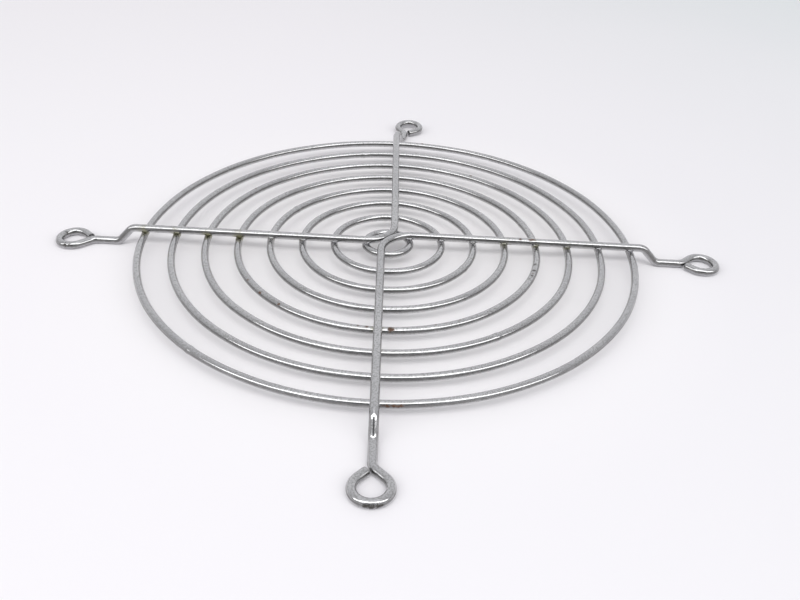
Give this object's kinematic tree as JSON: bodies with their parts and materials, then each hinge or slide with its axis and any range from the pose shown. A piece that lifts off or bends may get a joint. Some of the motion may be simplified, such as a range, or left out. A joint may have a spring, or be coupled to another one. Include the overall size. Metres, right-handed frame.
{
  "type": "wire fan guard",
  "caption": "Round guard of concentric steel wire rings welded under two bent cross wires that step down to open screw eyelets.",
  "frame": {"origin": "centre of the rings, on the plane that the eyelets stand on", "axes": "+Z away from the fan, +X through the right eyelet, +Y through the back eyelet's true place"},
  "size_m": [0.1568, 0.1574, 0.0055],
  "materials": {
    "chromed_wire": "bright plated, tarnished at some welds"
  },
  "bodies": {
    "root": {"ring_1": "chromed_wire", "ring_2": "chromed_wire", "ring_3": "chromed_wire", "ring_4": "chromed_wire", "ring_5": "chromed_wire", "ring_6": "chromed_wire", "ring_7": "chromed_wire", "ring_8": "chromed_wire", "cross_wire_left_back": "chromed_wire", "cross_wire_right_front": "chromed_wire"}
  },
  "joints": []
}
